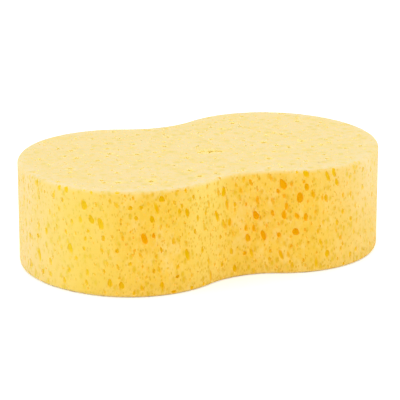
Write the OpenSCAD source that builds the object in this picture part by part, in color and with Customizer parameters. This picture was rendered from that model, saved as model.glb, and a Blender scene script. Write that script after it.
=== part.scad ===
// Cleaning sponge: one block of open-celled foam with a figure-eight outline.
// It lies on its wide face. Millimetres, origin at the middle of the underside,
// X along the length, Y across, Z up.

/* [Block] */
// overall length, end to end
length = 220; // [212:1:240]
// widest measure across a lobe
width = 135; // [124:1:137]
// thickness of the block
height = 62; // [50:1:75]
// how far the waist is pinched in on each side
pinch = 11.5; // [9:0.5:14]
// how much larger the radius of an end is than half the width
end_flat = 4.5; // [3:0.5:8]
// how much smaller the radius of a shoulder is than half the width
shoulder_in = 9.5; // [8:0.5:11]
// width of the narrow flats that make up the curved wall
flat = 4.2; // [3:0.2:6]

/* [Pores] */
// width of a middling pore
cell = 2; // [1.6:0.1:2.2]
// least foam left between two pores of a face
gap = 1.5; // [1:0.25:2]
// least foam left between a pore of the wall and an edge
rim = 1; // [0.8:0.1:2]
// depth of a pore of the wall against its width
pore_depth = 0.46; // [0.3:0.02:0.48]
// columns of small pores round the wall
columns = 56; // [40:2:60]
// rows of small pores up the wall
rows = 6; // [4:1:6]
// spacing of the small pores on the top and the underside
face_step = 15; // [14:1:20]
// number that picks another scatter of small pores
scatter = 7; // [1:1:40]

/* [Hidden] */
$fn = 32;
foam = [0.99, 0.85, 0.42];

// Outline: two ends, four shoulders and two hollow waist arcs, all tangent.
end_r = width / 2 + end_flat;
shoulder_r = width / 2 - shoulder_in;
end_x = length / 2 - end_r;
sh_y = shoulder_in;
sh_x = end_x + sqrt(pow(end_r - shoulder_r, 2) - sh_y * sh_y);
rise = width / 2 - pinch - sh_y;
waist_r = (sh_x * sh_x + rise * rise - shoulder_r * shoulder_r) / (2 * pinch);
waist_y = rise + sh_y + waist_r;
end_a = atan2(sh_y, sh_x - end_x);
shoulder_a = atan2(waist_y - sh_y, -sh_x);
waist_a = shoulder_a - 90;

// Arcs of half the outline, from the middle of the front waist to the right:
// [centre x, centre y, radius, first angle, last angle, turn of the outward side]
arcs = [
    [0, -waist_y, waist_r, 90, 90 - waist_a, 180],
    [sh_x, -sh_y, shoulder_r, -shoulder_a, -end_a, 0],
    [end_x, 0, end_r, -end_a, end_a, 0],
    [sh_x, sh_y, shoulder_r, end_a, shoulder_a, 0],
    [0, waist_y, waist_r, -90 + waist_a, -90, 180],
];
function run(i) = abs(arcs[i][4] - arcs[i][3]) * PI / 180 * arcs[i][2];
half_run = run(0) + run(1) + run(2) + run(3) + run(4);

// Spot on the wall: s runs along it in mm, to the right of the front waist.
function on_arc(i, part) =
    let (a = arcs[i], t = a[3] + (a[4] - a[3]) * part)
    [a[0] + a[2] * cos(t), a[1] + a[2] * sin(t), t + a[5]];
function along(s, i = 0) =
    s <= run(i) || i == 4 ? on_arc(i, s / run(i)) : along(s - run(i), i + 1);
function on_wall(s) =
    s >= 0 ? along(s) : let (p = along(-s)) [-p[0], p[1], 180 - p[2]];

// Outline as a ring of points, closer than the eye can tell from the arcs.
function arc_points(i) =
    let (n = 2 * ceil(run(i) / flat / 2))
    [for (k = [0 : n - 1]) let (p = on_arc(i, k / n)) [p[0], p[1]]];
right_side = [for (i = [0 : 4]) each arc_points(i)];
left_side = [for (k = [len(right_side) - 1 : -1 : 1]) [-right_side[k][0], right_side[k][1]]];
outline = concat(right_side, [[0, width / 2 - pinch]], left_side);

// Distance of a spot on a flat face from the outline.
function to_edge(x, y) =
    let (
        u = abs(x),
        v = abs(y),
        at_end = atan2(v, u - end_x) < end_a,
        b = atan2(v - sh_y, u - sh_x)
    )
    at_end ? end_r - norm([u - end_x, v])
    : b > -90 && b < shoulder_a ? shoulder_r - norm([u - sh_x, v - sh_y])
    : norm([u, v - waist_y]) - waist_r;

// The tables are written for a block 606 mm round the wall and 62 mm high, for
// faces 220 mm long and 135 mm wide, and for a middling pore 2 mm wide.
wall_share = half_run / 303;
high_share = height / 62;
face_share = [length / 220, width / 135];
cell_share = cell / 2;

// Large pores of the wall: [s, height, width, length, lean to the left]
left_lobe = [
    [-136.5, 16.5, 3, 9, 10], [-129.5, 32.5, 2.6, 5.5, 5], [-126, 44.5, 2, 4, 12],
    [-137, 56, 2.2, 5, 5], [-118, 57.5, 2.6, 5, 5], [-113, 57, 3.2, 5.5, 12],
    [-111, 26.5, 3, 6, 12], [-109.5, 42, 2, 3.5, 10], [-112, 13, 2.4, 4, 5],
    [-104, 44, 2.6, 5, 12], [-101.5, 53, 3.4, 6.5, 18], [-101, 33.5, 2.4, 3.4, 5],
    [-107, 21, 2.2, 3, 0], [-97, 45, 3.4, 5.8, 14], [-91.5, 43, 3.4, 7, 18],
    [-100, 13.5, 2.6, 4.5, 5], [-96.5, 57.5, 2.2, 4, 5], [-82.5, 27.5, 2.4, 3, 0],
    [-88, 20, 2, 4, 15], [-86, 56, 2.2, 4, 10], [-86.5, 8.5, 3, 5, 5],
    [-80, 7.5, 3, 5.2, 12], [-74.5, 53, 2.6, 3.4, 10], [-76, 43.5, 2, 3.4, 5],
];
waist = [
    [-67, 34.5, 3.8, 7.6, 20], [-69, 25, 2, 5, 20], [-68.5, 53, 2.4, 3, 10],
    [-62.5, 46, 2.6, 5.4, 20], [-60, 52.5, 2.6, 8, 18], [-57, 40.5, 2, 3.4, 5],
    [-56.5, 56.5, 4, 4.6, 15], [-53.5, 41.5, 2, 3, 5], [-68.5, 6.5, 2.4, 4.4, 15],
    [-58.5, 16, 2, 4.6, 15], [-57, 7, 2.6, 5, 8], [-50, 31.5, 2.2, 4.8, 2],
    [-46.5, 48, 2.4, 4.2, 15], [-47.5, 10.5, 2.8, 3, 60], [-41, 47, 3, 5.4, 15],
    [-42.5, 57, 2.2, 4, 5], [-41, 22.5, 3, 8.6, 15], [-33.5, 42.5, 2.4, 4.6, 5],
    [-30, 22.5, 2.6, 4.4, 5], [-24.5, 48, 2, 5.4, 15], [-24.5, 14.5, 2.2, 6.4, 15],
    [-17.5, 40, 3, 7.2, 20], [-16.5, 54, 2.2, 5.6, 5], [-12.3, 53, 3, 6.2, 5],
    [-10, 45, 2.2, 6.6, 5], [-12.5, 34, 2.2, 6, 15], [-7.5, 34, 2.8, 6, 8],
    [-1, 52, 2.2, 4.4, 15], [-4.5, 41, 2, 3, 5], [-4.5, 6.5, 3, 4.8, 10],
    [2.7, 29, 2.6, 4.2, 12], [3.7, 23, 3, 5.2, 10], [2.5, 43.5, 2.2, 3, 5],
    [6.5, 13.5, 2.4, 6, 20], [7.4, 28.5, 2.4, 5, 5], [8.5, 36.5, 4.2, 6.4, 25],
    [9.5, 45.5, 2.6, 5, 5],
];
right_lobe = [
    [13, 24, 3.2, 6.6, 20], [17, 56.5, 2.2, 5, 15], [18, 44.5, 2.2, 4, 8],
    [22, 23.5, 2.6, 4.2, 5], [24, 54, 4, 7.4, 22], [20.5, 49.5, 2.4, 3.6, 15],
    [25, 35.5, 2.8, 6.6, 3], [23.5, 11.5, 2.6, 7, 18], [28, 11.5, 2, 5, 15],
    [31.8, 25.5, 4, 5, 12], [32, 35, 2.8, 4.4, 28], [34, 46, 3.6, 7.2, 5],
    [38, 52.2, 3, 4.6, 12], [37.5, 57.6, 3.4, 5, 15], [37.5, 34, 3, 5.6, 5],
    [42, 47.5, 2.6, 6.6, 20], [43.5, 36.5, 2, 4, 5], [44.5, 6.5, 2.4, 7.4, 8],
    [45.3, 25, 2.2, 4.4, 5], [47, 18, 2.4, 5, 15], [48.5, 30, 2.2, 4.2, 10],
    [48, 44.5, 2, 4.2, 5], [51.5, 10.5, 3.4, 5.2, 8], [51, 56, 2.6, 7.4, 22],
    [55, 57.4, 3, 5.4, 12], [57.5, 51.5, 3, 5.8, 18], [61, 12.5, 2.2, 4, 5],
    [62, 44, 2.2, 4, 15], [68, 44, 2, 4, 5], [68.5, 29, 2.2, 3.2, 5],
    [71.5, 20, 2, 4.2, 15], [74, 9, 2.8, 3.8, 5], [67, 54, 2, 3.4, 5],
    [79, 45, 2, 4.4, 8],
];
wall_marks = [
    for (m = concat(left_lobe, waist, right_lobe))
        [m[0] * wall_share, m[1] * high_share, m[2] * cell_share, m[3] * cell_share, m[4]]
];

// Large pores of the top: [x, y, width]
top_table = [
    [4, -6.5, 4.6], [9.5, -9, 3], [-53, -47.5, 3.6], [-70.5, -42, 3.2], [-78, -39, 2.4],
    [-24, -50, 3.2], [-24, -37, 2.8], [27.5, -35, 2.6], [37, -23, 2.4], [-52, 14, 3],
    [-49, 25, 2.6], [-38, 6, 2.6], [-16.5, 15, 2.8], [-15, -13, 3], [40.5, -2, 3.4],
    [63, -9.5, 3], [49.5, -18, 2.4], [69.5, -22, 2.4], [81.5, 32, 3], [31, 36, 2.6],
    [43, 45, 2.6], [56, 14, 2.2], [13.5, 27, 2.4], [-73, 14, 2.6], [-64, 4, 2.6],
    [-84.5, -5, 2.6], [-63.5, -24, 2.4], [-20.5, 45, 2.6], [-70, 30, 2.4], [-6, 33, 2.4],
];
top_marks = [
    for (m = top_table) [m[0] * face_share[0], m[1] * face_share[1], m[2] * cell_share]
];

// A small pore is left out where it would come near a large one.
function free_wall(s, z, wide, tall) =
    len([
        for (m = wall_marks)
            if (abs(m[0] - s) < (m[2] + wide) / 2 + 1.5 * gap
                && abs(m[1] - z) < (m[3] + tall) / 2 + gap) 1
    ]) == 0;
function free_face(x, y, wide, marks) =
    len([for (m = marks) if (norm([m[0] - x, m[1] - y]) < (m[2] + wide) / 2 + gap) 1]) == 0;

// A pore is a round-ended bubble that stands upright and is cut open.
module bubble(wide, tall) {
    r = wide / 2;
    straight = tall / 2 - r;
    rotate_extrude() {
        translate([0, -straight]) square([r, 2 * straight]);
        intersection() {
            translate([0, -tall / 2]) square([r, tall]);
            union() {
                translate([0, straight]) circle(r);
                translate([0, -straight]) circle(r);
            }
        }
    }
}

module wall_pore(s, z, wide, tall, lean) {
    p = on_wall(s);
    low = rim + (tall / 2) * cos(lean) + (wide / 2) * (1 - cos(lean));
    translate([p[0], p[1], max(low, min(height - low, z))])
        rotate([0, 0, p[2]])
            translate([(0.5 - pore_depth) * wide, 0, 0])
                rotate([lean, 0, 0])
                    bubble(wide, tall);
}

module large_wall_pores() {
    for (m = wall_marks) wall_pore(m[0], m[1], m[2], m[3], m[4]);
}

module small_wall_pores() {
    dice = rands(-1, 1, 5 * columns * rows, scatter);
    for (i = [0 : columns - 1], j = [0 : rows - 1]) {
        k = 5 * (i * rows + j);
        s = half_run * ((2 * i + 1 + 0.45 * dice[k]) / columns - 1);
        z = 3 * rim + (height - 6 * rim) * (j + 0.5 + 0.2 * dice[k + 1]) / rows;
        wide = cell * (1 + 0.3 * dice[k + 2]);
        tall = wide * (1.8 + 0.4 * dice[k + 3]);
        if (free_wall(s, z, wide, tall)) wall_pore(s, z, wide, tall, 12 + 8 * dice[k + 4]);
    }
}

module large_top_pores() {
    for (m = top_marks) translate([m[0], m[1], height]) bubble(m[2], 1.8 * m[2]);
}

module small_face_pores(z, marks, seed) {
    across = floor(length / face_step);
    deep = floor(width / face_step);
    dice = rands(-1, 1, 3 * (across + 1) * (deep + 1), seed);
    for (i = [0 : across], j = [0 : deep]) {
        k = 3 * (i * (deep + 1) + j);
        x = (i - across / 2 + 0.35 * dice[k]) * face_step;
        y = (j - deep / 2 + 0.35 * dice[k + 1]) * face_step;
        wide = cell * (1 + 0.3 * dice[k + 2]);
        if (to_edge(x, y) > 2 * gap + wide / 2 && free_face(x, y, wide, marks))
            translate([x, y, z]) bubble(wide, 1.8 * wide);
    }
}

module block() {
    linear_extrude(height) polygon(outline);
}

module sponge() {
    color(foam)
        difference() {
            block();
            large_wall_pores();
            small_wall_pores();
            large_top_pores();
            small_face_pores(height, top_marks, scatter + 1);
            small_face_pores(0, [], scatter + 2);
        }
}

sponge();
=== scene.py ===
import math
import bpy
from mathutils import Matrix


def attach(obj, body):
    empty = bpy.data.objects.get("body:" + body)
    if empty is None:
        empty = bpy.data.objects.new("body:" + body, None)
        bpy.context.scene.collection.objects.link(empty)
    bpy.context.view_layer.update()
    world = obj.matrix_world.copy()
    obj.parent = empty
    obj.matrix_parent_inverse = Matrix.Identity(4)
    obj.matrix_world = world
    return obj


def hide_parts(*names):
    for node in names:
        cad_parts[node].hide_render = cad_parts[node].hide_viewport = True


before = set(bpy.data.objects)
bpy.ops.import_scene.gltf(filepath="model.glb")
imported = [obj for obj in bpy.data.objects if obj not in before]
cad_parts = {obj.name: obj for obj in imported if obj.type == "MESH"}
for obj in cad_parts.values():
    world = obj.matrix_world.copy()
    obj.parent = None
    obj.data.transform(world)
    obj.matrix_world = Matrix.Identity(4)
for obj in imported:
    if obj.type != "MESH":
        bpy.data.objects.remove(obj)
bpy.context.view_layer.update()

from types import SimpleNamespace

import bmesh
import bpy
import numpy as np
from mathutils import Vector

MM = 0.001

# Block, in millimetres, as in the part's source
LENGTH, WIDTH, HEIGHT = 220.0, 135.0, 62.0
PINCH, END_FLAT, SHOULDER_IN = 11.5, 4.5, 9.5

# Radius of the rounded edges, and width of the band of painted highlight that runs along the rim of a
# flat face
EDGE_R, RIM_BAND = 2.0, 9.0

# Mesh of the block: columns round the wall, rows up it and angles at which an edge bends
WALL_COLUMNS, WALL_ROWS = 280, 24
EDGE_BENDS = np.radians([0, 22.5, 45, 67.5])

# Edges sharper than this angle in degrees stay sharp, and edges shorter than this in metres go
SHARP_ANGLE, SLIVER = 40, 2e-6

END_R = WIDTH / 2 + END_FLAT
SHOULDER_R = WIDTH / 2 - SHOULDER_IN
END_X = LENGTH / 2 - END_R
SH_Y = SHOULDER_IN
SH_X = END_X + math.sqrt((END_R - SHOULDER_R) ** 2 - SH_Y ** 2)
RISE = WIDTH / 2 - PINCH - SH_Y
WAIST_R = (SH_X ** 2 + RISE ** 2 - SHOULDER_R ** 2) / (2 * PINCH)
WAIST_Y = RISE + SH_Y + WAIST_R
END_A = math.atan2(SH_Y, SH_X - END_X)
SHOULDER_A = math.atan2(WAIST_Y - SH_Y, -SH_X)
WAIST_A = SHOULDER_A - math.pi / 2

# Arcs of half the outline, from the middle of the front waist to the right:
# centre, radius, first angle, last angle, sign of the outward side
ARCS = [
    ((0.0, -WAIST_Y), WAIST_R, math.pi / 2, math.pi / 2 - WAIST_A, -1),
    ((SH_X, -SH_Y), SHOULDER_R, -SHOULDER_A, -END_A, 1),
    ((END_X, 0.0), END_R, -END_A, END_A, 1),
    ((SH_X, SH_Y), SHOULDER_R, END_A, SHOULDER_A, 1),
    ((0.0, WAIST_Y), WAIST_R, WAIST_A - math.pi / 2, -math.pi / 2, -1),
]
RUNS = [abs(a[3] - a[2]) * a[1] for a in ARCS]
HALF_RUN = sum(RUNS)

# Photograph's view: level camera, fitted to the outline
VIEW_AZ, VIEW_EL = math.radians(-25.26), math.radians(17.22)
VIEW_DISTANCE = 1246.24
VIEW_TARGET = (-0.09, 0.0, 30.53)
VIEW_LENS, SENSOR = 188.6, 36.0
VIEW_END = 20.0

# Light of the white room, the faint lamp above, and the floor, in metres and watts
ROOM_LIGHT = 1.12
LAMP_PLACE, LAMP_TARGET = (-0.3, -0.2, 1.5), (0.0, 0.0, 0.03)
LAMP_WIDTH, LAMP_POWER = 1.2, 0.3
FLOOR_HALF, FLOOR_Z = 3.0, -0.0001
FLOOR_GREY, FLOOR_GLOW = 0.9, 0.35

# Large pores of the wall as they show in the photograph:
# distance along the wall, height, width, length in mm and lean to the left in degrees
LEFT_LOBE = [
    (-136.5, 16.5, 3, 9, 10), (-129.5, 32.5, 2.6, 5.5, 5), (-126, 44.5, 1.7, 4, 12),
    (-137, 59, 2.2, 6, 5), (-118, 61, 2.6, 5.5, 5), (-113, 60.8, 3.2, 6.5, 12),
    (-111, 26.5, 3, 6, 12), (-109.5, 42, 2, 3.5, 10), (-112, 13, 2.4, 4, 5),
    (-104, 44, 2.6, 5, 12), (-101.5, 53, 3.4, 6.5, 18), (-101, 33.5, 2.2, 3, 5),
    (-99, 38, 2, 2.6, 0), (-107, 21, 2.2, 3, 0), (-97, 45, 3.4, 5.8, 14),
    (-91.5, 43, 3.4, 7, 18), (-100, 13.5, 2.6, 4.5, 5), (-97, 61.3, 2.2, 4, 5),
    (-97.5, 34, 1.5, 2, 0), (-82.5, 27.5, 2.4, 2.8, 0), (-88, 20, 1.6, 3.6, 15),
    (-86, 56.5, 1.8, 4, 10), (-86.5, 8.5, 3, 5, 5), (-80, 7.3, 3, 5.2, 12),
    (-82, 62, 4, 3, 0), (-82, 54, 1.8, 2.8, 5), (-81, 11.7, 1.6, 2, 0),
    (-122, 56.5, 1.5, 3, 5), (-101.5, 61.8, 2.2, 2.4, 0), (-74.5, 53, 2.6, 2.8, 10),
    (-79, 55.5, 1.5, 2, 0), (-76, 43.5, 1.6, 2.8, 5), (-74.5, 39, 1.5, 2, 0),
    (-73, 58.5, 1.8, 3, 5), (-75, 20, 2.2, 2.6, 0), (-73, 3, 2, 3, 0),
]
WAIST = [
    (-67, 34.5, 3.6, 7.6, 20), (-69, 25, 1.9, 4.8, 20), (-68.5, 53, 2.4, 2.6, 10),
    (-64.5, 55, 1.5, 3, 20), (-62.5, 46, 2.6, 5.4, 20), (-60, 52.3, 2.5, 8, 18),
    (-57.5, 41, 1.5, 3, 5), (-57, 57, 3.8, 4.4, 15), (-54.5, 57.5, 1.6, 4, 5),
    (-54, 41.3, 1.8, 2.6, 5), (-68.5, 6.3, 2.2, 4.2, 15), (-58.5, 16, 1.7, 4.5, 15),
    (-57, 6.5, 2.6, 5, 8), (-53.5, 16.2, 1.5, 2, 0), (-50, 31.5, 2, 4.6, 2),
    (-46, 48.2, 2.2, 4.2, 15), (-44.5, 51.6, 1.8, 3, 10), (-47.5, 10.5, 3, 2, 0),
    (-41, 47, 3, 5.4, 15), (-42, 60, 2, 3.4, 5), (-47, 60.6, 1.6, 2.4, 5),
    (-41, 22.5, 2.9, 8.6, 15), (-40, 34.4, 1.5, 2.2, 0), (-38, 9.3, 1.6, 2.6, 5),
    (-38, 2, 2.4, 2.6, 0), (-50, 1.8, 3, 2, 0), (-33.5, 42.4, 2.2, 4.4, 5),
    (-30, 22.5, 2.5, 4.2, 5), (-29, 2.2, 2, 3, 0), (-24.5, 48, 1.7, 5.2, 15),
    (-24.5, 14.5, 2, 6.2, 15), (-23, 5.3, 2, 7, 0), (-17.5, 40, 2.9, 7.2, 20),
    (-16.5, 54, 2, 5.5, 5), (-12.4, 53, 3, 6.2, 5), (-10, 45, 2, 6.6, 5),
    (-12.3, 34, 1.9, 6, 15), (-8, 34, 2.7, 5.8, 8), (-13.5, 10, 2, 3, 5),
    (-11, 12.2, 1.4, 2.4, 0), (-1, 52, 1.9, 4.2, 15), (-4.5, 41, 1.6, 2.6, 5),
    (1, 58, 1.8, 4.4, 5), (-4.5, 6.2, 3, 4.6, 10), (2.7, 29, 2.5, 4.1, 12),
    (3.7, 23.2, 3, 5, 10), (2.5, 43.4, 2, 2.6, 5), (6.2, 13.7, 2.1, 6, 20),
    (7.4, 28.5, 2.4, 5, 5), (2, 14, 2.6, 2.4, 0), (8.5, 36.3, 4.1, 6.2, 25),
    (9.5, 45.3, 2.4, 5, 5), (-60.5, 23.7, 1.3, 2.6, 5), (-66, 12, 1.5, 2, 0),
]
RIGHT_LOBE = [
    (13, 24, 3, 6.5, 20), (15, 29.5, 1.6, 3, 5), (17, 58.2, 2, 4.6, 15),
    (18, 44.4, 2, 3.6, 8), (17.3, 14, 2, 2.2, 0), (22, 23.7, 2.4, 4, 5),
    (24, 54, 3.9, 7.2, 22), (21.3, 49.8, 2.4, 3.8, 15), (24.8, 47.3, 1.8, 3, 5),
    (25, 36, 2.6, 6.4, 3), (26.3, 41, 2.2, 4.8, 8), (23.5, 11.5, 2.4, 7, 18),
    (27.6, 11.5, 1.8, 5, 15), (30, 5.5, 1.9, 3.5, 3), (29, 54, 1.7, 3, 5),
    (31.8, 25.6, 4.2, 4.6, 12), (29, 22.6, 1.6, 2.1, 0), (32.3, 35, 2.7, 4.2, 28),
    (34, 45.9, 3.6, 7, 5), (32, 62, 2.4, 4, 5), (38, 52, 3, 4.8, 12),
    (37.5, 60, 3.5, 6.2, 15), (36.3, 55.3, 1.9, 2.6, 5), (37.5, 34, 2.8, 5.2, 5),
    (38.8, 43.5, 1.6, 3, 5), (42, 47.3, 2.4, 6.5, 20), (43.5, 36.6, 1.8, 4, 5),
    (44.5, 5.8, 2.2, 7, 8), (45.3, 24.8, 1.9, 4, 5), (46.3, 28, 1.6, 2.6, 0),
    (47, 18, 2.2, 5, 15), (48.6, 30, 2, 4, 10), (47.6, 44.6, 1.8, 4, 5),
    (48.5, 36, 1.4, 2.2, 0), (51.5, 10.7, 3.2, 4.8, 8), (51, 57.3, 2.5, 7.5, 24),
    (55, 59.4, 2.9, 6, 14), (57.5, 52.3, 2.8, 5.6, 18), (57.5, 23.4, 1.6, 3, 5),
    (61, 12, 2, 3, 5), (62.3, 14.6, 1.6, 3, 5), (62, 44, 2, 3.6, 15),
    (68, 44, 2, 4, 5), (67, 54, 1.8, 3, 5), (68.5, 28.8, 2.2, 3, 5),
    (71.5, 19.8, 2, 4, 15), (74, 25.5, 1.5, 4, 5), (74, 8.8, 2.7, 3.6, 5),
    (79, 45, 1.8, 4.2, 8), (63.5, 2, 2, 2.2, 0),
]
WALL_MARKS = LEFT_LOBE + WAIST + RIGHT_LOBE

# Large pores of the top as they show in the photograph: x, y and width in mm
TOP_MARKS = [
    (4, -6.5, 4.6), (9, -8.8, 3), (-53, -47.5, 3.6), (-70.5, -42, 3.2), (-78, -39, 2.4),
    (-24, -50, 3.2), (-24, -37, 2.8), (27.5, -35, 2.6), (37, -23, 2.4), (-52, 14, 3),
    (-49, 25, 2.6), (-38, 6, 2.6), (-16.5, 15, 2.8), (-15, -13, 3), (40.5, -2, 3.4),
    (63, -9.5, 3), (49.5, -18, 2.4), (69.5, -22, 2.4), (81.5, 32, 3), (31, 36, 2.6),
    (43, 45, 2.6), (56, 14, 2.2), (13.5, 27, 2.4), (-73, 14, 2.6), (-64, 4, 2.6),
    (-84.5, -5, 2.6), (-63.5, -24, 2.4), (-20.5, 45, 2.6), (-70, 30, 2.4), (-6, 33, 2.4),
    (-15, -57, 2.2),
]

# Further pores that make up the long streak in the middle of the top
TOP_STREAK = [(-0.5, -4.6, 2.8), (6.8, -7.6, 3.2), (2.0, -8.6, 2.2)]

# Pores of the flat faces: depth of the whole cell against its width, as in the part's source
FACE_DEEP = 1.8

# Dip round a pore: width against the pore's, on the wall and on the flat faces, and depth in mm
DIP_WALL, DIP_FACE, DIP_DEEP = 1.5, 2.4, 0.22

# A cell: how far its middle stands out of the surface against its width, how much its sides
# wave and how often, and how much fuller its foot is than its top
PROUD, WAVE, WAVES, FULL_FOOT = 0.04, 0.06, 1.7, 0.12

# Cells nearer than this, against the reach of both, are cut one after the other
CUT_APART = 1.45

# Small pores, scattered by the same rule and seeds as in the part's source
CELL, GAP, RIM = 2.0, 1.5, 1.0
COLUMNS, ROWS, FACE_STEP, SCATTER = 56, 6, 15.0, 7

# Fine pores that only the scene has: spacing in mm, wider by a factor on the flat faces,
# smallest and largest width, share of spots used, and least foam left between two
FINE_STEP, FINE_FACE_STEP = 4.2, 1.5
FINE_LOW, FINE_HIGH = 0.8, 1.8
FINE_SHARE, FINE_GAP = 0.88, 0.4
FINE_SEED = 11

# Warm places of the wall: x, z, and reach along and up, in mm
WARM_SPOTS = [(20, 37, 30, 32), (-66, 34, 14, 12)]

# Where the colour of the wall changes, in metres: start and full strength of each change. The lobe,
# waist, ends and upper wall take painted light, the crown a painted highlight and the foot painted shade
LOBE_X = (-0.062, -0.104)
WAIST_X, WAIST_REACH = -0.025, (0.024, 0.004)
RIGHT_X = (0.034, 0.108)
LEFT_X, LEFT_Y = (-0.09, -0.105), (-0.05, 0.012)
UPPER_Z, CROWN_HIGHLIGHT_Z, FOOT_SHADE_Z = (0.02, 0.06), (0.05, 0.061), (0.013, 0.002)
WARM_X = (-0.1, -0.06)

# Patterns of the foam. Cells stand upright: most patterns are stretched along Z and lean
# to the left. Noise has a scale per metre and a detail.
STRETCH, LEAN = (1.0, 1.0, 0.55), (0.0, math.radians(14), 0.0)
GRAIN, PATCH, FLECK, CLOUD, WARMTH = (700.0, 2.0), (170.0, 2.0), (330.0, 2.0), (60.0, 3.0), (110.0, 1.0)

# Painted holes: scale per metre, where their rim starts and their floor is reached,
# and which of them are left out and which are strong
FINE_HOLE = (380.0, 0.55, 0.1, 0.2, 0.9)
TINY_HOLE = (820.0, 0.5, 0.2, 0.4, 0.9)
WIDE_HOLE = (170.0, 0.5, 0.15, 0.3, 0.9)

# Marks that the mesh carries for the material
MARKS = ("cut_depth", "on_face", "by_rim")


def linear(r, g, b):
    """Colour as it shows on the screen, 0 to 255, turned into a linear one."""
    def one(c):
        c /= 255
        return c / 12.92 if c <= 0.04045 else ((c + 0.055) / 1.055) ** 2.4
    return (one(r), one(g), one(b), 1.0)


WHITE, BLACK = (1.0, 1.0, 1.0, 1.0), (0.0, 0.0, 0.0, 1.0)

# Foam out in the light: wall with its lemon and pale painted light, flat faces with a painted sheen and a
# painted highlight along their rim, painted shade at the foot, and light patches
BODY, LEMON_PAINTED_LIGHT, PALE_PAINTED_LIGHT = linear(247, 203, 78), linear(249, 218, 109), linear(249, 224, 166)
TOP_PAINTED_SHEEN, RIM_PAINTED_HIGHLIGHT = linear(239, 217, 162), linear(241, 223, 182)
FOOT_PAINTED_SHADE, FOOT_PAINTED_SHADE_GRAIN = linear(242, 205, 116), linear(224, 178, 36)
LIGHT = linear(251, 218, 130)
TOP_PATCH, TOP_FLECK, TOP_SPECK = linear(240, 213, 134), linear(237, 213, 124), linear(229, 206, 114)

# Painted shade inside the pores, lemon where the wall has painted light and paler on the flat faces, and
# the painted dots
PORE_SHADE_GOLD, PORE_SHADE_ORANGE = linear(232, 188, 6), linear(237, 174, 6)
PORE_SHADE_LEMON, PORE_SHADE_TOP = linear(241, 211, 48), linear(234, 212, 122)
DOT_GOLD, DOT_LEMON, DOT_TOP = linear(226, 174, 20), linear(239, 211, 92), linear(239, 211, 112)


def on_wall(s):
    """Spot on the wall s mm to the right of the front waist: x, y and the outward direction."""
    left = s < 0
    s = abs(s)
    for k, ((centre, r, first, last, side), run) in enumerate(zip(ARCS, RUNS)):
        if s <= run or k == len(ARCS) - 1:
            t = first + (last - first) * s / run
            x, y = centre[0] + r * math.cos(t), centre[1] + r * math.sin(t)
            nx, ny = side * math.cos(t), side * math.sin(t)
            return (-x, y, -nx, ny) if left else (x, y, nx, ny)
        s -= run


def outline_gap(x, y):
    """Distance from spots inside the outline to the wall, for arrays."""
    u, v = np.abs(x), np.abs(y)
    at_end = np.arctan2(v, u - END_X) < END_A
    b = np.arctan2(v - SH_Y, u - SH_X)
    at_shoulder = (b > -math.pi / 2) & (b < SHOULDER_A)
    end = END_R - np.hypot(u - END_X, v)
    shoulder = SHOULDER_R - np.hypot(u - SH_X, v - SH_Y)
    waist = np.hypot(u, v - WAIST_Y) - WAIST_R
    return np.where(at_end, end, np.where(at_shoulder, shoulder, waist))


def gap_at(x, y):
    """Distance from one spot inside the outline to the wall."""
    return outline_gap(np.array([x]), np.array([y]))[0]


def surface_marks(points):
    """Marks of each point, in the order of MARKS: depth under the uncut surface in mm, 1 on
    a flat face and 0 on the wall, and 1 at the outline and 0 from RIM_BAND inwards."""
    wall = outline_gap(points[:, 0], points[:, 1])
    face = np.minimum(points[:, 2], HEIGHT - points[:, 2])
    edge_wall, edge_face = np.minimum(wall, EDGE_R), np.minimum(face, EDGE_R)
    rounded = EDGE_R - np.hypot(EDGE_R - edge_wall, EDGE_R - edge_face)
    depth = np.where((wall < EDGE_R) & (face < EDGE_R), rounded, np.minimum(wall, face))
    on_face = np.clip((wall - face) / (2 * EDGE_R) + 0.5, 0, 1)
    return np.clip(depth, 0, None), on_face, np.clip(1 - wall / RIM_BAND, 0, 1)


def dice(count, seed):
    """Random numbers from -1 to 1, the same ones that the part's source draws."""
    raw = np.random.RandomState(seed).randint(0, 2 ** 32, 2 * count, dtype=np.uint64)
    return raw[1::2] / 2.0 ** 31 - 1


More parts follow.
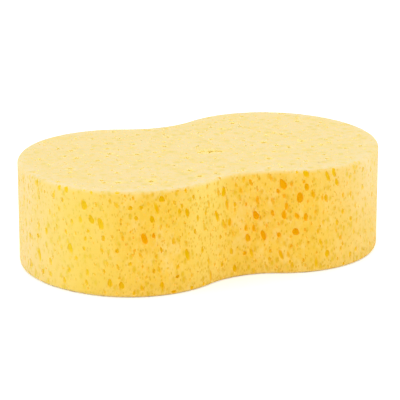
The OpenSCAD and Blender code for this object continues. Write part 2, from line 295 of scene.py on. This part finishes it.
class Pores:
    """Cells to cut out of the block. Those of a finer mesh have a higher detail."""

    def __init__(self):
        self.rng = np.random.default_rng(FINE_SEED)
        self.cells = []
        self.spots = np.empty((0, 4))

    def add(self, centre, normal, wide, tall, lean, detail, deep=None):
        """Set one oval cell, its centre just outside the surface so that it opens wide."""
        deep = deep or wide
        place = np.array(centre) + PROUD * min(deep, wide) * np.array(normal)
        self.cells.append((place, np.array(normal), (deep, wide, tall), lean, detail))
        self.spots = np.vstack([self.spots, [*place, max(wide, 0.75 * tall) / 2]])

    def add_dipped(self, centre, normal, wide, tall, lean, detail, deep=None):
        """A cell with the shallow dip that its torn rim leaves round it."""
        self.add(centre, normal, wide, tall, lean, detail, deep)
        dip = DIP_FACE if normal[2] else DIP_WALL
        self.add(centre, normal, dip * wide, dip * tall, lean, detail - 1, 2 * DIP_DEEP)

    def clear(self, centre, reach, gap):
        """True where no cell set so far lies within the gap."""
        apart = np.linalg.norm(self.spots[:, :3] - centre, axis=1)
        return bool(np.all(apart > self.spots[:, 3] + reach + gap))

    def add_large(self):
        for s, z, wide, tall, lean in WALL_MARKS:
            x, y, nx, ny = on_wall(s)
            self.add_dipped((x, y, z), (nx, ny, 0), wide, tall, lean, 3)
        for x, y, wide in TOP_MARKS + TOP_STREAK:
            self.add_dipped((x, y, HEIGHT), (0, 0, 1), wide, wide, 0, 3, FACE_DEEP * wide)

    def add_small(self):
        """Small pores of the wall and of the flat faces, as the part's source sets them."""
        large = [m for m in WALL_MARKS if m[2] >= CELL]
        roll = dice(5 * COLUMNS * ROWS, SCATTER).reshape(COLUMNS, ROWS, 5)
        for i in range(COLUMNS):
            for j in range(ROWS):
                a, b, c, d, e = roll[i, j]
                s = HALF_RUN * ((2 * i + 1 + 0.45 * a) / COLUMNS - 1)
                z = 3 * RIM + (HEIGHT - 6 * RIM) * (j + 0.5 + 0.2 * b) / ROWS
                wide = CELL * (1 + 0.3 * c)
                tall = wide * (1.8 + 0.4 * d)
                if any(abs(m[0] - s) < (m[2] + wide) / 2 + 1.5 * GAP
                       and abs(m[1] - z) < (m[3] + tall) / 2 + GAP for m in large):
                    continue
                x, y, nx, ny = on_wall(s)
                self.add((x, y, z), (nx, ny, 0), wide, tall, 12 + 8 * e, 2)
        self.add_small_face(HEIGHT, 1, TOP_MARKS, SCATTER + 1)
        self.add_small_face(0.0, -1, [], SCATTER + 2)

    def add_small_face(self, z, up, marks, seed):
        across, deep = int(LENGTH // FACE_STEP), int(WIDTH // FACE_STEP)
        roll = dice(3 * (across + 1) * (deep + 1), seed).reshape(across + 1, deep + 1, 3)
        for i in range(across + 1):
            for j in range(deep + 1):
                a, b, c = roll[i, j]
                x = (i - across / 2 + 0.35 * a) * FACE_STEP
                y = (j - deep / 2 + 0.35 * b) * FACE_STEP
                wide = CELL * (1 + 0.3 * c)
                inside = gap_at(x, y) > 2 * GAP + wide / 2
                if inside and all(math.hypot(m[0] - x, m[1] - y) >= (m[2] + wide) / 2 + GAP
                                  for m in marks):
                    self.add_dipped((x, y, z), (0, 0, up), wide, wide, 0, 2, FACE_DEEP * wide)

    def add_fine_wall(self):
        columns, rows = int(2 * HALF_RUN / FINE_STEP), int(HEIGHT / FINE_STEP)
        for i in range(columns):
            for j in range(rows):
                jump, jz, pick, size, tall, lean = self.rng.random(6)
                s = -HALF_RUN + 2 * HALF_RUN * (i + jump) / columns
                z = HEIGHT * (j + jz) / rows
                wide = FINE_LOW + (FINE_HIGH - FINE_LOW) * size ** 2
                long = wide * (1.5 + 0.9 * tall)
                x, y, nx, ny = on_wall(s)
                if pick < FINE_SHARE and self.clear((x, y, z), long / 2, FINE_GAP):
                    self.add((x, y, z), (nx, ny, 0), wide, long, 4 + 20 * lean, 1)

    def add_fine_face(self, z, up):
        across = int(LENGTH / FINE_STEP / FINE_FACE_STEP)
        deep = int(WIDTH / FINE_STEP / FINE_FACE_STEP)
        for i in range(across):
            for j in range(deep):
                jx, jy, pick, size, tall, turn = self.rng.random(6)
                x = LENGTH * ((i + jx) / across - 0.5)
                y = WIDTH * ((j + jy) / deep - 0.5)
                wide = FINE_LOW + (FINE_HIGH - FINE_LOW) * size ** 2
                long = wide * (1.1 + 0.5 * tall)
                if pick > FINE_SHARE or gap_at(x, y) < 0.4 * wide:
                    continue
                if self.clear((x, y, z), wide / 2, FINE_GAP):
                    self.add((x, y, z), (0, 0, up), wide, long, 180 * turn, 1)

    def groups(self):
        """Cells in groups, with those that might touch in different ones."""
        groups, spots = [], []
        for cell, spot in zip(self.cells, self.spots):
            for group, taken in zip(groups, spots):
                near = np.array(taken)
                apart = np.linalg.norm(near[:, :3] - spot[:3], axis=1)
                if np.all(apart > CUT_APART * (near[:, 3] + spot[3])):
                    group.append(cell)
                    taken.append(spot)
                    break
            else:
                groups.append([cell])
                spots.append([spot])
        return groups


def unit_ball(detail):
    """Vertices and triangles of a ball of radius 1."""
    bm = bmesh.new()
    bmesh.ops.create_icosphere(bm, subdivisions=detail, radius=1.0)
    verts = np.array([v.co[:] for v in bm.verts])
    faces = np.array([[v.index for v in f.verts] for f in bm.faces])
    bm.free()
    return verts, faces


def cell_shape(ball, size, rng):
    """A ball stretched to the size, with sides that wave a little and a fuller foot."""
    waves = rng.normal(size=(4, 3)) * WAVES
    phase = rng.random(4) * 2 * math.pi
    bulge = 1 + WAVE * np.sin(ball @ waves.T + phase).sum(axis=1)
    shape = ball * bulge[:, None] * np.array(size) / 2
    shape[:, 1] *= 1 - FULL_FOOT * ball[:, 2]
    return shape


def cell_mesh(cells, rng):
    """One mesh of all the cells: slightly irregular ovals, leaning to the left."""
    balls = {d: unit_ball(d) for d in (1, 2, 3)}
    verts, faces, count = [], [], 0
    for place, normal, size, lean, detail in cells:
        ball, tris = balls[detail]
        shape = cell_shape(ball, size, rng)
        if normal[2]:
            side, rise = np.array([1.0, 0.0, 0.0]), np.array([0.0, 1.0, 0.0])
        else:
            side, rise = np.array([-normal[1], normal[0], 0.0]), np.array([0.0, 0.0, 1.0])
        tilt = math.radians(lean)
        up = rise * math.cos(tilt) - side * math.sin(tilt)
        across = side * math.cos(tilt) + rise * math.sin(tilt)
        turned = shape[:, 0:1] * normal + shape[:, 1:2] * across + shape[:, 2:3] * up
        if np.dot(np.cross(normal, across), up) < 0:
            tris = tris[:, ::-1]
        verts.append(turned + place)
        faces.append(tris + count)
        count += len(ball)
    return np.vstack(verts), np.vstack(faces)


def new_object(name, verts, faces):
    mesh = bpy.data.meshes.new(name)
    mesh.from_pydata([tuple(v) for v in verts], [], [tuple(int(i) for i in f) for f in faces])
    mesh.update()
    obj = bpy.data.objects.new(name, mesh)
    bpy.context.scene.collection.objects.link(obj)
    return obj


def block_mesh():
    """Closed block: wall rows, rounded edges, a flat rim and one face at top and bottom."""
    count = WALL_COLUMNS
    spots = np.array([on_wall(-HALF_RUN + 2 * HALF_RUN * i / count) for i in range(count)])
    low = [(RIM_BAND, 0.0)]
    low += [(EDGE_R * (1 - math.sin(a)), EDGE_R * (1 - math.cos(a))) for a in EDGE_BENDS]
    wall = [(0.0, EDGE_R + (HEIGHT - 2 * EDGE_R) * i / WALL_ROWS) for i in range(WALL_ROWS + 1)]
    high = [(inset, HEIGHT - z) for inset, z in reversed(low)]
    rows = low + wall + high
    verts = [(x - nx * inset, y - ny * inset, z) for inset, z in rows for x, y, nx, ny in spots]
    faces = []
    for r in range(len(rows) - 1):
        below, above = r * count, (r + 1) * count
        for i in range(count):
            k = (i + 1) % count
            faces.append((below + i, below + k, above + k, above + i))
    faces.append(tuple(reversed(range(count))))
    faces.append(tuple((len(rows) - 1) * count + i for i in range(count)))
    return verts, faces


def face_outwards(obj):
    bm = bmesh.new()
    bm.from_mesh(obj.data)
    bmesh.ops.recalc_face_normals(bm, faces=bm.faces)
    bm.to_mesh(obj.data)
    bm.free()


def apply_modifiers(obj):
    depsgraph = bpy.context.evaluated_depsgraph_get()
    mesh = bpy.data.meshes.new_from_object(obj.evaluated_get(depsgraph))
    obj.modifiers.clear()
    old = obj.data
    obj.data = mesh
    bpy.data.meshes.remove(old)


def cut_pores(sponge, pores):
    for k, group in enumerate(pores.groups()):
        cutter = new_object(f"cells_{k}", *cell_mesh(group, pores.rng))
        cut = sponge.modifiers.new("cut", "BOOLEAN")
        cut.operation = "DIFFERENCE"
        cut.solver = "MANIFOLD"
        cut.object = cutter
        apply_modifiers(sponge)
        bpy.data.objects.remove(cutter, do_unlink=True)


def mark_and_scale(mesh):
    """Write the marks for the material, and turn the millimetres into metres."""
    points = np.empty(3 * len(mesh.vertices))
    mesh.vertices.foreach_get("co", points)
    points = points.reshape(-1, 3)
    for name, values in zip(MARKS, surface_marks(points)):
        layer = mesh.attributes.new(name, "FLOAT", "POINT")
        layer.data.foreach_set("value", values.astype(np.float32))
    mesh.vertices.foreach_set("co", (points * MM).ravel())
    mesh.update()


def smooth_by_angle(obj):
    """Smooth shading with the rims of the pores left sharp, once the slivers are gone."""
    bm = bmesh.new()
    bm.from_mesh(obj.data)
    bmesh.ops.dissolve_degenerate(bm, dist=SLIVER, edges=bm.edges)
    for face in bm.faces:
        face.smooth = True
    for edge in bm.edges:
        edge.smooth = edge.calc_face_angle(math.pi) < math.radians(SHARP_ANGLE)
    bm.to_mesh(obj.data)
    bm.free()


def make_sponge():
    sponge = new_object("foam_block", *block_mesh())
    face_outwards(sponge)
    pores = Pores()
    pores.add_large()
    pores.add_small()
    pores.add_fine_wall()
    pores.add_fine_face(HEIGHT, 1)
    pores.add_fine_face(0.0, -1)
    cut_pores(sponge, pores)
    mark_and_scale(sponge.data)
    smooth_by_angle(sponge)
    sponge.data.materials.clear()
    sponge.data.materials.append(foam_material())
    return sponge


class Nodes:
    """Short way to build a node tree."""

    def __init__(self, name):
        self.material = bpy.data.materials.new(name)
        self.material.use_nodes = True
        self.tree = self.material.node_tree
        self.tree.nodes.clear()

    def add(self, kind, inputs=None, **settings):
        node = self.tree.nodes.new(kind)
        for key, value in settings.items():
            setattr(node, key, value)
        for key, value in (inputs or {}).items():
            if isinstance(value, bpy.types.NodeSocket):
                self.tree.links.new(value, node.inputs[key])
            else:
                node.inputs[key].default_value = value
        return node

    def math(self, operation, a, b=0.0, clamp=False):
        return self.add("ShaderNodeMath", {0: a, 1: b}, operation=operation, use_clamp=clamp).outputs[0]

    def times(self, value, *others):
        for other in others:
            value = self.math("MULTIPLY", value, other)
        return value

    def most(self, value, *others):
        for other in others:
            value = self.math("MAXIMUM", value, other)
        return value

    def plus(self, a, b, clamp=False):
        return self.math("ADD", a, b, clamp)

    def rest(self, value):
        return self.math("SUBTRACT", 1.0, value)

    def mix(self, share, a, b):
        """Colour a where the share is 0 and b where it is 1."""
        return self.add("ShaderNodeMix", {0: share, 6: a, 7: b}, data_type="RGBA").outputs[2]

    def ramp(self, value, low, high):
        """0 up to low and 1 from high on, and the other way round where high is the lower."""
        node = self.add("ShaderNodeMapRange", {0: value, 1: low, 2: high, 3: 0.0, 4: 1.0},
                        interpolation_type="SMOOTHSTEP")
        return node.outputs[0]

    def noise(self, vector, scale, detail):
        node = self.add("ShaderNodeTexNoise", {"Vector": vector, "Scale": scale, "Detail": detail})
        return node.outputs[0]

    def holes(self, vector, scale, rim, floor, rare, common):
        """Small round spots, 1 in the middle and 0 outside, of differing strength."""
        cells = self.add("ShaderNodeTexVoronoi", {"Vector": vector, "Scale": scale}).outputs
        pick = self.add("ShaderNodeSeparateColor", {0: cells["Color"]}).outputs[0]
        return self.times(self.ramp(cells["Distance"], rim, floor), self.ramp(pick, rare, common))

    def mark(self, name):
        return self.add("ShaderNodeAttribute", attribute_name=name).outputs["Fac"]

    def finish(self, shader):
        self.add("ShaderNodeOutputMaterial", {0: shader.outputs[0]})
        return self.material


def foam_places(n):
    """Everything that the colours of the foam depend on."""
    at = SimpleNamespace()
    at.spot = n.add("ShaderNodeTexCoord").outputs["Object"]
    at.x, at.y, at.z = n.add("ShaderNodeSeparateXYZ", {0: at.spot}).outputs
    at.depth, at.on_face, at.by_rim = [n.mark(name) for name in MARKS]
    at.steep = n.times(at.depth, n.plus(n.times(at.on_face, 2.0), 1.0))
    at.fade = n.rest(n.times(at.on_face, 0.7))
    tall = n.add("ShaderNodeMapping", {"Vector": at.spot, "Scale": STRETCH, "Rotation": LEAN}).outputs[0]
    at.fine_hole = n.holes(tall, *FINE_HOLE)
    at.tiny_hole = n.holes(tall, *TINY_HOLE)
    at.wide_hole = n.holes(at.spot, *WIDE_HOLE)
    at.grain = n.noise(tall, *GRAIN)
    at.patch = n.noise(tall, *PATCH)
    at.fleck = n.noise(at.spot, *FLECK)
    at.cloud = n.noise(tall, *CLOUD)
    at.warmth = n.noise(at.spot, *WARMTH)
    # Painted light on the wall: lemon at the left lobe and the waist, stronger up the wall at the waist
    # and the right end, and pale at both ends
    upper = n.plus(n.times(n.ramp(at.z, *UPPER_Z), 0.6), 0.75)
    waist = n.ramp(n.math("ABSOLUTE", n.plus(at.x, -WAIST_X)), *WAIST_REACH)
    lobe = n.ramp(at.x, *LOBE_X)
    at.yellow = n.most(lobe, n.times(waist, upper, 0.8))
    right = n.times(n.ramp(at.x, *RIGHT_X), upper)
    left = n.times(n.ramp(at.y, *LEFT_Y), n.ramp(at.x, *LEFT_X))
    # Painted highlight along the top of the wall
    painted_crown_highlight = n.times(n.ramp(at.z, *CROWN_HIGHLIGHT_Z), 0.08)
    at.paler = n.plus(n.most(right, left), painted_crown_highlight, clamp=True)
    # Painted light of the wall, which also turns the pores and dots lemon
    at.bright = n.most(n.times(lobe, 0.85), at.paler)
    # Painted shade along the foot of the wall, except at the left lobe
    at.foot = n.times(n.ramp(at.z, *FOOT_SHADE_Z), n.rest(lobe))
    return at


def skin_colour(n, at):
    """Colour of the foam out in the light, with painted light on the wall, a painted sheen on the flat
    faces, a painted highlight along their rim and painted shade at the foot.
    """
    # Painted light: the wall lemon at the left lobe and the waist, and pale at both ends
    wall = n.mix(at.paler, n.mix(at.yellow, BODY, LEMON_PAINTED_LIGHT), PALE_PAINTED_LIGHT)
    # Flat faces: a pale painted sheen, with a paler painted highlight along their rim
    face = n.mix(n.times(at.by_rim, 0.7), TOP_PAINTED_SHEEN, RIM_PAINTED_HIGHLIGHT)
    skin = n.mix(at.on_face, wall, face)
    # Painted shade at the foot of the wall
    skin = n.mix(n.times(at.foot, 0.3), skin, FOOT_PAINTED_SHADE)
    light = n.times(n.ramp(at.grain, 0.45, 0.7), 0.3)
    light = n.plus(light, n.times(n.ramp(at.patch, 0.48, 0.72), 0.55))
    plain = n.rest(n.most(at.yellow, at.paler, at.on_face))
    skin = n.mix(n.times(light, plain), skin, LIGHT)
    for pattern, share, colour in ((n.ramp(at.patch, 0.48, 0.68), 0.5, TOP_PATCH),
                                   (n.ramp(at.fleck, 0.52, 0.7), 0.6, TOP_FLECK),
                                   (at.wide_hole, 0.65, TOP_SPECK)):
        skin = n.mix(n.times(pattern, at.on_face, share), skin, colour)
    return skin


def pore_shade_colour(n, at):
    """Painted shade inside a pore: lemon at the left end, where the wall has painted light, and from gold
    to orange on the rest of the wall.
    """
    warm = n.times(n.ramp(at.warmth, 0.52, 0.68), n.ramp(at.x, *WARM_X), 0.6)
    for x, z, along, up in WARM_SPOTS:
        aside = n.math("DIVIDE", n.math("SUBTRACT", at.x, x * MM), along * MM)
        above = n.math("DIVIDE", n.math("SUBTRACT", at.z, z * MM), up * MM)
        away = n.plus(n.times(aside, aside), n.times(above, above))
        warm = n.most(warm, n.ramp(away, 1.0, 0.2))
    wall = n.mix(at.bright, n.mix(warm, PORE_SHADE_GOLD, PORE_SHADE_ORANGE), PORE_SHADE_LEMON)
    # Paler painted shade in the pores of the flat faces
    return n.mix(n.ramp(at.on_face, 0.5, 1.0), wall, PORE_SHADE_TOP)


def foam_colour(n, at, skin, deep):
    """Skin with clouds, painted dots, grainy painted shade at the foot, and painted shade in the cut
    pores that grows with their depth.
    """
    dot = n.mix(at.on_face, n.mix(at.bright, DOT_GOLD, DOT_LEMON), DOT_TOP)
    colour = n.mix(n.times(n.ramp(at.cloud, 0.35, 0.7), 0.22), skin, deep)
    colour = n.mix(n.times(at.fine_hole, 0.8, at.fade), colour, n.mix(0.3, deep, dot))
    colour = n.mix(n.times(at.tiny_hole, 0.8, at.fade), colour, dot)
    # Grainy painted shade at the foot
    colour = n.mix(n.times(at.foot, n.ramp(at.grain, 0.52, 0.6), 0.5), colour, FOOT_PAINTED_SHADE_GRAIN)
    # Painted shade in the cut pores, stronger with depth
    return n.mix(n.ramp(at.steep, 0.0, 1.1), colour, deep)


def painted_pore_glow(n, at, deep):
    """Painted light: a glow in the pores that stands in for light coming through the foam. Deep in those
    of a flat face it fails.
    """
    outer = n.most(n.ramp(at.depth, 1.6, 0.3), n.rest(at.on_face))
    inside = n.times(n.ramp(at.steep, 0.0, 0.9), outer, n.plus(n.times(at.on_face, 0.3), 0.2))
    return n.mix(inside, BLACK, deep)


def pitting(n, at):
    """Painted dots as shallow pits."""
    height = n.plus(n.times(at.fine_hole, -1.0), n.times(at.tiny_hole, -0.35))
    height = n.times(height, at.fade)
    return n.add("ShaderNodeBump", {"Height": height, "Distance": 0.0005, "Strength": 0.6}).outputs[0]


def foam_material():
    n = Nodes("foam")
    at = foam_places(n)
    # deep holds the painted shade colour of the pores
    deep = pore_shade_colour(n, at)
    return n.finish(n.add("ShaderNodeBsdfPrincipled", {
        "Base Color": foam_colour(n, at, skin_colour(n, at), deep),
        "Roughness": 0.9, "Specular IOR Level": 0.0,
        "Subsurface Weight": 1.0, "Subsurface Radius": (1.0, 0.7, 0.4), "Subsurface Scale": 0.0004,
        # Emission: painted glow in the pores
        "Emission Color": painted_pore_glow(n, at, deep), "Emission Strength": 0.3,
        "Normal": pitting(n, at)}, subsurface_method="BURLEY"))


def floor_material():
    """White to the camera, and a plain pale floor to all other light."""
    n = Nodes("floor_white")
    camera_ray = n.add("ShaderNodeLightPath").outputs["Is Camera Ray"]
    matt = n.add("ShaderNodeBsdfDiffuse", {"Color": (FLOOR_GREY, FLOOR_GREY, FLOOR_GREY, 1.0)})
    glow = n.add("ShaderNodeEmission", {"Color": WHITE, "Strength": n.times(camera_ray, FLOOR_GLOW)})
    return n.finish(n.add("ShaderNodeAddShader", {0: matt.outputs[0], 1: glow.outputs[0]}))


def make_floor():
    corners = [(x * FLOOR_HALF, y * FLOOR_HALF, FLOOR_Z) for x, y in ((-1, -1), (1, -1), (1, 1), (-1, 1))]
    floor = new_object("floor", corners, [(0, 1, 2, 3)])
    floor.data.materials.append(floor_material())


def make_lights():
    world = bpy.data.worlds.new("studio")
    world.use_nodes = True
    background = world.node_tree.nodes["Background"]
    background.inputs["Color"].default_value = WHITE
    background.inputs["Strength"].default_value = ROOM_LIGHT
    bpy.context.scene.world = world
    light = bpy.data.lights.new("top_light", "AREA")
    light.shape = "DISK"
    light.size = LAMP_WIDTH
    light.energy = LAMP_POWER
    lamp = bpy.data.objects.new("top_light", light)
    lamp.location = LAMP_PLACE
    aim = Vector(LAMP_TARGET) - Vector(LAMP_PLACE)
    lamp.rotation_euler = aim.to_track_quat("-Z", "Y").to_euler()
    bpy.context.scene.collection.objects.link(lamp)


def make_camera():
    data = bpy.data.cameras.new("camera")
    data.sensor_width = SENSOR
    data.lens = VIEW_LENS
    data.clip_end = VIEW_END
    camera = bpy.data.objects.new("camera", data)
    level = math.cos(VIEW_EL)
    back = Vector((math.sin(VIEW_AZ) * level, -math.cos(VIEW_AZ) * level, math.sin(VIEW_EL)))
    camera.location = Vector(VIEW_TARGET) * MM + back * VIEW_DISTANCE * MM
    camera.rotation_euler = (-back).to_track_quat("-Z", "Y").to_euler()
    bpy.context.scene.collection.objects.link(camera)
    bpy.context.scene.camera = camera


def main():
    make_camera()
    make_lights()
    make_floor()
    sponge = make_sponge()
    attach(sponge, "root")
    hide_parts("sponge")
    bpy.context.scene.view_settings.view_transform = "Standard"


main()
